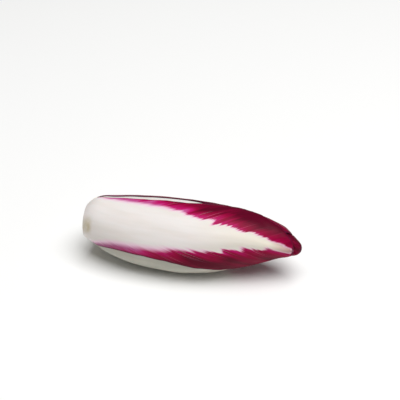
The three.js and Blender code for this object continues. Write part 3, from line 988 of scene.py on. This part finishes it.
def hair_amount(tree, carried, place, pushed, covered):
    hairs = cells(tree, place, HAIR_WIDTH, HAIR_LENGTH, 1.0)
    hair = add(tree, "ShaderNodeMapRange", [hairs, *HAIR_LEVELS])
    fade = add(tree, "ShaderNodeMapRange", [pushed, *HAIR_FADES])
    least = add(tree, "ShaderNodeMapRange", [carried["across"], *HALVES, LOWER_TIP_HAIR, UPPER_TIP_HAIR])
    calm = add(tree, "ShaderNodeMapRange", [carried["along"], *HAIR_CALMS, 1.0, least])
    for mask in (fade, calm, covered):
        hair = add(tree, "ShaderNodeMath", [hair, mask], operation="MULTIPLY")
    return hair


# Painted shade along the margin.
def margin_shade_amount(tree, carried):
    width = add(tree, "ShaderNodeMapRange", [carried["across"], *HALVES, LOWER_RIM_WIDTH, UPPER_RIM_WIDTH])
    share = add(tree, "ShaderNodeMath", [carried["edge"], width], operation="DIVIDE")
    rim = add(tree, "ShaderNodeMapRange", [share, *RIM_FADES])
    full = add(tree, "ShaderNodeMapRange", [carried["across"], *HALVES, LOWER_RIM_FULL, UPPER_RIM_FULL])
    started = add(tree, "ShaderNodeMapRange", [carried["along"], RIM_START, full])
    return add(tree, "ShaderNodeMath", [rim, started], operation="MULTIPLY")


print("hair lines, mm:", HAIR_WIDTH, "by", HAIR_LENGTH, "and margin line, mm:", LOWER_RIM_WIDTH)

# %% [markdown]
# ## All of it under one waxed skin
# The colours are laid over each other as they lie in the leaf: flesh, a pink blush, pigment, hair lines and
# the margin's line of painted shade. The skin over them is waxy but soft, so its gloss is weak and broad,
# and a little light passes through the flesh, which keeps the white parts from looking like paint.

# %% Leaf material
BLUSH = srgb("F0C4DC")
# Painted shade along the margins.
MARGIN_SHADE = srgb("560F30")
# In border widths beyond the border.
BLUSHED = (-1.3, 0.2)
COVERED = (-0.55, 0.7)
LEAF_ROUGHNESS = (0.38, 0.5)
# Skin cells are about 0.05 mm wide, too fine to show, so the grain is drawn with cells of about 1 mm.
GRAIN_PER_METRE = 900.0
GRAIN_HEIGHT = 0.0003
LIGHT_REACH = 0.0015


def leaf_material(name, seed, flesh):
    """Waxed skin over flesh: a weak, broad gloss with a soft glow under it."""
    material, tree = new_material(name)
    carried = {key: add(tree, "ShaderNodeAttribute", attribute_name=key).outputs["Fac"] for key in CARRIED}
    place, pushed, beyond = pigment_border(tree, carried, seed)
    pigment = pigment_colour(tree, carried, place, pushed)
    white, fibres = flesh_colour(tree, carried, seed, flesh)
    blushed = add(tree, "ShaderNodeMapRange", [beyond, *BLUSHED], interpolation_type="SMOOTHSTEP")
    covered = add(tree, "ShaderNodeMapRange", [beyond, *COVERED], interpolation_type="SMOOTHSTEP")
    hair = hair_amount(tree, carried, place, pushed, covered)
    # Painted shade along the margin.
    rim = margin_shade_amount(tree, carried)
    colour = layered(tree, white, (blushed, BLUSH), (covered, pigment), (hair, BLUSH), (rim, MARGIN_SHADE))

    coordinates = add(tree, "ShaderNodeTexCoord")
    grain = add(tree, "ShaderNodeTexNoise",
                {"Vector": coordinates.outputs["Object"], "Scale": GRAIN_PER_METRE, "Detail": 2.0})
    gloss = add(tree, "ShaderNodeMapRange", [fibres, 0.0, 1.0, *LEAF_ROUGHNESS])
    bumps = add(tree, "ShaderNodeBump", {"Strength": 0.1, "Distance": GRAIN_HEIGHT, "Height": grain})
    skin = add(tree, "ShaderNodeBsdfPrincipled", {
        "Base Color": colour, "Roughness": gloss, "Normal": bumps, "IOR": 1.42, "Specular IOR Level": 0.1,
        "Subsurface Weight": 0.1, "Subsurface Radius": (1.0, 0.6, 0.5), "Subsurface Scale": LIGHT_REACH,
    })
    add(tree, "ShaderNodeOutputMaterial", {"Surface": skin})
    return material


print("light reaches into the flesh by, mm:", LIGHT_REACH / MM)

# %% [markdown]
# ## The leaves
# Each leaf is grown in turn, from the outermost to the innermost. The outer ones get a fine grid, because
# their relief shows, and the inner ones a coarser one. The inner ones also grow a little past their solids,
# and those next inside the closing leaf are folded over under its tip and hug it there. The white of the
# third leaf is painted darker and grey-green, as painted shade where it faces down.

# %% Grow them all
PEARL = srgb("ECE6E3")
# The third leaf's white, painted darker and grey-green as shade where it faces down.
SHADED_PEARL = srgb("B4B3A7")
SHOWN_LEAVES = 7
# Rows and columns.
FINE_GRID = (150, 96)
COARSE_GRID = (70, 48)
INNER_TIP_GROWTH = 4.0
LAST_FOLDED_LEAF = 7
FOLDED_TIP_STEP = 1.2
HUGGING_STATIONS = (137.5, 142.5)
HUGGING_SHARE = 0.85
RELIEF_STEP = 5.3
looseness = 1 - HUGGING_SHARE * smooth_step(*HUGGING_STATIONS, MAP_STATIONS)[:, None]
feet = []
rooms = []
for index, name in enumerate(LEAF_NAMES):
    low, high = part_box(name)
    foot = (low[0] - BUTT[0]) / MM
    tip = (high[0] - BUTT[0]) / MM + (INNER_TIP_GROWTH if index > CLOSING_LEAF else 0)
    if index == CLOSING_LEAF:
        closing_tip = tip
    if CLOSING_LEAF < index <= LAST_FOLDED_LEAF:
        tip = max(tip, closing_tip - FOLDED_TIP_STEP * (index - CLOSING_LEAF))
    fine = index < SHOWN_LEAVES
    room = bridged(taken)
    if index >= CLOSING_LEAF:
        room = np.maximum(room * looseness, hugging(taken))
    feet.append(foot)
    rooms.append(hugging(taken))
    leaf = grow_leaf(index, foot, tip, room, *(FINE_GRID if fine else COARSE_GRID))
    take(leaf)
    # The third leaf gets the darker white of painted shade.
    flesh = SHADED_PEARL if index == THIRD_LEAF else PEARL
    material = leaf_material(f"endive leaf {index + 1}, waxed skin over flesh", index, flesh)
    tree = relief_tree(material)
    title = f"endive_leaf_{index + 1:02d}"
    piece = as_plain_piece(title, leaf_mesh(title, leaf), tree, {"Seed": index * RELIEF_STEP})
    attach(piece, ROOT)
    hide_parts(name)
    print(title, "foot", round(foot, 1), "tip", round(tip, 1), "faces", len(piece.data.polygons))

# %% [markdown]
# ## The stem and its cut
# All leaves grow from one short stem. Where the head was cut from its root, the stem shows as a pale disc
# between the outermost leaves' feet. It could be a plain lathe shape, but each leaf's foot swells out of
# it, so its first millimetres fill the room that the leaves begun so far have left. The cut is slightly
# dished.

# %% Stem surface
FLARE_END = 8.0
FOOT_GAP = 0.12
DISH_DEPTH = 0.35
DISH_RINGS = np.linspace(0.97, 0.03, 20)
INNER_END_SHARE = 0.05
STEM_SKIN_GAP = 0.05
STEM_ANGLES = np.arange(0, 360, 2.0)
stem_levels = [0, 0.15, 0.5, 1.2, 2, 4, 7, 9, 13, 18, 24, 31, 39, 46, STEM_LENGTH]
flared_feet = [foot for foot in feet if 0 < foot < FLARE_END + FOOT_GAP]
STEM_RINGS = np.sort(stem_levels + [foot + side for foot in flared_feet for side in (-FOOT_GAP, FOOT_GAP)])


def stem_surface():
    """The stem, ring by ring: the cut from its middle out, the sides, then the hidden end."""
    stations, radii = [], []
    for station in STEM_RINGS:
        at = np.full_like(STEM_ANGLES, station)
        radius = np.full_like(STEM_ANGLES, stem_radius(station))
        if station <= FLARE_END:
            begun = sum(foot < station + FOOT_GAP / 2 for foot in feet)
            radius = np.maximum(head_radius(at) - sample(rooms[begun], at, STEM_ANGLES), radius)
        stations.append(at)
        radii.append(radius - STEM_SKIN_GAP)
    rim = radii[0]
    for share in DISH_RINGS:
        stations.insert(0, np.full_like(STEM_ANGLES, DISH_DEPTH * (1 - share ** 4)))
        radii.insert(0, rim * share)
    stations.append(stations[-1])
    radii.append(radii[-1] * INNER_END_SHARE)
    return np.array(stations), np.array(radii)


print("rings of the stem, mm:", STEM_RINGS.round(1))

# %% Closing a skin over rings
def lathe_mesh(name, stations, angles, radii, carried):
    """A closed skin over rings of points, with a middle point at either end."""
    rings, around = radii.shape
    points = head_points(stations, angles[None, :], head_radius(stations) - radii).reshape(-1, 3)
    ends = [points[:around].mean(axis=0), points[-around:].mean(axis=0)]
    number = np.arange(rings * around).reshape(rings, around)
    after = np.roll(number, -1, axis=1)
    walls = quads(number[:-1], number[1:], after[1:], after[:-1]).tolist()
    first, last = rings * around, rings * around + 1
    caps = [(first, a, b) for a, b in zip(number[0].tolist(), after[0].tolist())]
    caps += [(last, b, a) for a, b in zip(number[-1].tolist(), after[-1].tolist())]
    carried = {
        key: np.concatenate([values.ravel(), [values[0].mean(), values[-1].mean()]])
        for key, values in carried.items()
    }
    return smooth_mesh(name, np.concatenate([points, ends]), walls + caps, carried)


stations, radii = stem_surface()
stem_distances = {"from_axis": radii, "station": stations}
stem_mesh = lathe_mesh("endive_stem", stations, STEM_ANGLES, radii, stem_distances)
print("stem flares to, mm:", round(float(radii.max()), 1), "faces", len(stem_mesh.polygons))

# %% [markdown]
# ## Flesh of the cut
# A fresh cut is creamy white. Air browns it within the hour, first along the ring of bundles that carry the
# sap. They stand a hair proud of the softer flesh, because they shrink less as it dries. The flesh is dull,
# with a fine grain that breaks up what little gloss it has, and the dried bundles are duller still.

# %% Cut flesh
CUT_CREAM = srgb("F0E8D4")
CUT_BROWN = srgb("BE9C68")
BUNDLE_BROWN = srgb("9A7440")
BUNDLE_RING_RADIUS = 5.6
BROWNED_RING = (2.2, 0.0, 0.25, 0.8)
# Blots of about 4 mm.
CUT_BLOTS_PER_METRE = 260.0
CUT_BLOT_LEVELS = (0.35, 0.7, 0.2, 1.0)
CUT_ENDS = (1.2, 0.4)
CUT_GRAIN_HEIGHT = 0.0004


def cut_flesh_material():
    """Air-browned flesh: cream that turns tan in blots along the ring of bundles."""
    material, tree = new_material("endive stem, cut and air-browned flesh")
    from_axis = add(tree, "ShaderNodeAttribute", attribute_name="from_axis").outputs["Fac"]
    station = add(tree, "ShaderNodeAttribute", attribute_name="station").outputs["Fac"]
    coordinates = add(tree, "ShaderNodeTexCoord")
    blots = add(tree, "ShaderNodeTexNoise",
                {"Vector": coordinates.outputs["Object"], "Scale": CUT_BLOTS_PER_METRE, "Detail": 4.0})
    off_ring = add(tree, "ShaderNodeMath", [from_axis, BUNDLE_RING_RADIUS], operation="SUBTRACT")
    ring_distance = add(tree, "ShaderNodeMath", [off_ring], operation="ABSOLUTE")
    browned = add(tree, "ShaderNodeMapRange",
                  [ring_distance, *BROWNED_RING], interpolation_type="SMOOTHSTEP")
    blot = add(tree, "ShaderNodeMapRange", [blots, *CUT_BLOT_LEVELS])
    at_cut = add(tree, "ShaderNodeMapRange", [station, *CUT_ENDS])
    for mask in (blot, at_cut):
        browned = add(tree, "ShaderNodeMath", [browned, mask], operation="MULTIPLY")
    grain = add(tree, "ShaderNodeBump", {"Strength": 0.35, "Distance": CUT_GRAIN_HEIGHT, "Height": blots})
    flesh = add(tree, "ShaderNodeBsdfPrincipled", {
        "Base Color": layered(tree, CUT_CREAM, (browned, CUT_BROWN)),
        "Roughness": 0.55, "Normal": grain, "IOR": 1.4,
        "Subsurface Weight": 0.15, "Subsurface Radius": (1.0, 0.7, 0.5), "Subsurface Scale": LIGHT_REACH,
    })
    add(tree, "ShaderNodeOutputMaterial", {"Surface": flesh})
    return material


def bundle_material():
    """Dried sap: a dull, darker brown."""
    material, tree = new_material("endive stem, dried sap bundles")
    skin = add(tree, "ShaderNodeBsdfPrincipled", {"Base Color": BUNDLE_BROWN, "Roughness": 0.6, "IOR": 1.4})
    add(tree, "ShaderNodeOutputMaterial", {"Surface": skin})
    return material


print("blots on the cut, mm:", round(1 / (CUT_BLOTS_PER_METRE * MM), 1))

# %% [markdown]
# ## Bundles round the cut
# The bundles repeat round the ring, so Geometry Nodes place them: one flat dome on each point of a circle,
# each nudged a little and made thicker or thinner by a fixed seed.

# %% Bundles tree
BUNDLE_COUNT = 21
BUNDLE_SIZES = {"Ring radius": BUNDLE_RING_RADIUS * MM, "Bundle radius": 0.38 * MM, "Nudge": 0.55 * MM}
BUNDLE_GIRTHS = (0.6, 1.15)
BUNDLE_FLATNESS = 0.3
NUDGE_SEED = 4
GIRTH_SEED = 9


def bundles_tree(flesh, bundle):
    tree = new_geometry_tree("sap bundles on a cut", BUNDLE_SIZES)
    count = tree.interface.new_socket("Count", in_out="INPUT", socket_type="NodeSocketInt")
    count.default_value = BUNDLE_COUNT
    tree.interface.new_socket("Centre", in_out="INPUT", socket_type="NodeSocketVector")
    given = add(tree, "NodeGroupInput").outputs
    ring = add(tree, "GeometryNodeMeshCircle", {"Vertices": given["Count"], "Radius": given["Ring radius"]})
    upright = add(tree, "GeometryNodeTransform",
                  {"Geometry": ring, "Rotation": (0.0, math.pi / 2, 0.0), "Translation": given["Centre"]})
    back = add(tree, "ShaderNodeMath", [given["Nudge"], -1.0], operation="MULTIPLY")
    forth_corner = add(tree, "ShaderNodeCombineXYZ", {"Y": given["Nudge"], "Z": given["Nudge"]})
    back_corner = add(tree, "ShaderNodeCombineXYZ", {"Y": back, "Z": back})
    nudge = add(tree, "FunctionNodeRandomValue",
                {"Min": back_corner, "Max": forth_corner, "Seed": NUDGE_SEED}, data_type="FLOAT_VECTOR")
    nudged = add(tree, "GeometryNodeSetPosition", {"Geometry": upright, "Offset": nudge})
    dome = add(tree, "GeometryNodeMeshIcoSphere", {"Radius": given["Bundle radius"], "Subdivisions": 2})
    # The inputs 2 and 3 and the output 1 are those of a plain number.
    thinnest, thickest = BUNDLE_GIRTHS
    girth = add(tree, "FunctionNodeRandomValue",
                {2: thinnest, 3: thickest, "Seed": GIRTH_SEED}, data_type="FLOAT").outputs[1]
    flat = add(tree, "ShaderNodeCombineXYZ", [BUNDLE_FLATNESS, girth, girth])
    placed = add(tree, "GeometryNodeInstanceOnPoints", {"Points": nudged, "Instance": dome, "Scale": flat})
    real = add(tree, "GeometryNodeRealizeInstances", {"Geometry": placed})
    bundles = add(tree, "GeometryNodeSetMaterial", {"Geometry": real, "Material": bundle})
    body = add(tree, "GeometryNodeSetMaterial", {"Geometry": given["Geometry"], "Material": flesh})
    joined = add(tree, "GeometryNodeJoinGeometry")
    for part in (body, bundles):
        tree.links.new(part.outputs[0], joined.inputs[0])
    add(tree, "NodeGroupOutput", {"Geometry": joined})
    return tree


print("bundles round the cut:", BUNDLE_COUNT)

# %% [markdown]
# ## The stem piece
# The tree needs the cut's middle, which lies on the head's axis, a little below the rim of the dished cut.
# The domes and the flesh then become one plain mesh, because they are one piece of the plant.

# %% Stem piece
cut_middle = BUTT + np.array([DISH_DEPTH * MM, 0, 0])
stem_tree = bundles_tree(cut_flesh_material(), bundle_material())
stem = as_plain_piece("endive_stem", stem_mesh, stem_tree, {"Centre": tuple(cut_middle.tolist())})
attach(stem, ROOT)
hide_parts("core_stem")
print("stem with its bundles, faces:", len(stem.data.polygons))

# %% [markdown]
# ## The heart bud
# Right inside lie the youngest leaves, still folded round each other and pale because no light has reached
# them. They are too small and tight to grow one by one, so they are one spindle whose radius steps down at
# each folded margin. Its solid gives its length and its girth.

# %% Heart bud surface
BUD_FOLDS = 5
BUD_TURNS = 0.7
FOLD_STEP = 0.13
FOLD_CREST = 0.92
FOLD_DROP = 0.08
BUD_RINGS = 60
BUD_ANGLES = np.arange(0, 360, 3.0)
SAME_RING = 0.02
SLIMMEST_BUD = 0.2

bud_points = np.array([v.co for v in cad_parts["heart_bud"].data.vertices])
bud_station = (bud_points[:, 0] - BUTT[0]) / MM
bud_axis = head_points(bud_station, 0.0, head_radius(bud_station))
bud_radius = np.linalg.norm(bud_points - bud_axis, axis=1) / MM
bud_start, bud_end = float(bud_station.min()), float(bud_station.max())
bud_levels = np.unique(np.round(bud_station, 2))
bud_girths = [bud_radius[np.abs(bud_station - level) < SAME_RING].max() for level in bud_levels]


def bud_surface():
    """Its rings, and how far each point lies along a fold and along the bud."""
    stations = np.linspace(bud_start, bud_end, BUD_RINGS)[:, None]
    share = (stations - bud_start) / (bud_end - bud_start)
    girth = np.interp(stations, bud_levels, bud_girths)
    fold = np.mod(BUD_ANGLES[None, :] / 360 * BUD_FOLDS + share * BUD_TURNS, 1.0)
    step = np.where(fold < FOLD_CREST, fold / FOLD_CREST, (1 - fold) / FOLD_DROP)
    radii = np.maximum(girth * (1 - FOLD_STEP * step) - STEM_SKIN_GAP, SLIMMEST_BUD)
    return stations * np.ones_like(radii), radii, {"fold": fold, "share": share * np.ones_like(radii)}


print("heart bud from", round(bud_start, 1), "to", round(bud_end, 1), "mm")

# %% [markdown]
# ## Its skin
# The heart's skin is young and moist: pale yellow, since no light has greened it, and rosy at the folded
# margins and towards the tip, where the pigment begins.

# %% Heart bud piece
BUD_YELLOW = srgb("E9DE9F")
BUD_ROSE = srgb("A8325E")
ROSY_FOLD = (0.7, 0.9)
ROSY_SHARES = (0.3, 0.9)


def bud_material():
    """Pale folded skin: a little glossier than the outer leaves, with the same soft glow."""
    material, tree = new_material("endive heart, pale folded leaf skin")
    fold = add(tree, "ShaderNodeAttribute", attribute_name="fold").outputs["Fac"]
    share = add(tree, "ShaderNodeAttribute", attribute_name="share").outputs["Fac"]
    at_margin = add(tree, "ShaderNodeMapRange", [fold, *ROSY_FOLD], interpolation_type="SMOOTHSTEP")
    tipward = add(tree, "ShaderNodeMapRange", [share, *ROSY_SHARES])
    rosy = add(tree, "ShaderNodeMath", [at_margin, tipward], operation="MAXIMUM")
    amount = add(tree, "ShaderNodeMath", [rosy, tipward], operation="MULTIPLY")
    skin = add(tree, "ShaderNodeBsdfPrincipled", {
        "Base Color": layered(tree, BUD_YELLOW, (amount, BUD_ROSE)),
        "Roughness": 0.45, "IOR": 1.42, "Specular IOR Level": 0.3,
        "Subsurface Weight": 0.15, "Subsurface Radius": (1.0, 0.8, 0.4), "Subsurface Scale": LIGHT_REACH,
    })
    add(tree, "ShaderNodeOutputMaterial", {"Surface": skin})
    return material


stations, radii, folds = bud_surface()
bud_mesh = lathe_mesh("endive_heart_bud", stations, BUD_ANGLES, radii, folds)
bud_mesh.materials.append(bud_material())
bud = new_object("endive_heart_bud", bud_mesh)
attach(bud, ROOT)
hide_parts("heart_bud")
print("heart bud's faces:", len(bud_mesh.polygons))

# %% [markdown]
# ## Stage and light
# A pale floor under one large soft light, as in a small studio, in a room that gives back a little of it.

# %% Stage
FLOOR_HALF = 3.0
ROOM_LIGHT = 0.15
KEY_PLACE = Vector((0.5, -0.25, 2.3))
KEY_AIM = Vector((0, 0, 0.02))
KEY_SIZE = 1.9
KEY_WATTS = 64

# Matt paper scatters light evenly: soft shadows show on it, and no reflections.
floor_material, floor_tree = new_material("matt white paper sweep")
floor_skin = add(floor_tree, "ShaderNodeBsdfPrincipled", {"Base Color": srgb("FAFAF9"), "Roughness": 0.9})
add(floor_tree, "ShaderNodeOutputMaterial", {"Surface": floor_skin})
floor_mesh = bpy.data.meshes.new("floor")
corners = [(x * FLOOR_HALF, y * FLOOR_HALF, 0) for x, y in ((-1, -1), (1, -1), (1, 1), (-1, 1))]
floor_mesh.from_pydata(corners, [], [(0, 1, 2, 3)])
floor_mesh.materials.append(floor_material)
floor = new_object("floor", floor_mesh)

world = bpy.data.worlds.new("soft white room")
world.use_nodes = True
world.node_tree.nodes["Background"].inputs["Color"].default_value = (1, 1, 1, 1)
world.node_tree.nodes["Background"].inputs["Strength"].default_value = ROOM_LIGHT
bpy.context.scene.world = world
bpy.context.scene.view_settings.view_transform = "Standard"

key_light = bpy.data.lights.new("key, large and above", "AREA")
key_light.size = KEY_SIZE
key_light.energy = KEY_WATTS
key = new_object("key, large and above", key_light)
key.location = KEY_PLACE
key.rotation_euler = (KEY_AIM - KEY_PLACE).to_track_quat("-Z", "Y").to_euler()
print("key light above the head, m:", KEY_PLACE.z)

# %% [markdown]
# ## Camera
# The camera looks down on the head from its side, from as far away as keeps a long lens's calm perspective.

# %% Camera
AZIMUTH = 12.3
ELEVATION = 35.0
DISTANCE = 0.6366
AIM_RIGHT = 0.0051
AIM_UP = 0.0235
HEAD_MIDDLE = Vector((0.0, 0.0, 0.025))
camera_data = bpy.data.cameras.new("camera")
camera_data.lens = 85
camera_data.sensor_width = 36
camera = new_object("camera", camera_data)
azimuth, elevation = math.radians(AZIMUTH), math.radians(ELEVATION)
level = math.cos(elevation)
toward = Vector((math.sin(azimuth) * level, -math.cos(azimuth) * level, math.sin(elevation)))
right = Vector((math.cos(azimuth), math.sin(azimuth), 0.0))
aim = HEAD_MIDDLE + AIM_RIGHT * right + AIM_UP * toward.cross(right)
camera.location = aim + DISTANCE * toward
camera.rotation_euler = (-toward).to_track_quat("-Z", "Y").to_euler()
bpy.context.scene.camera = camera
print("camera at, m:", [round(v, 3) for v in camera.location])
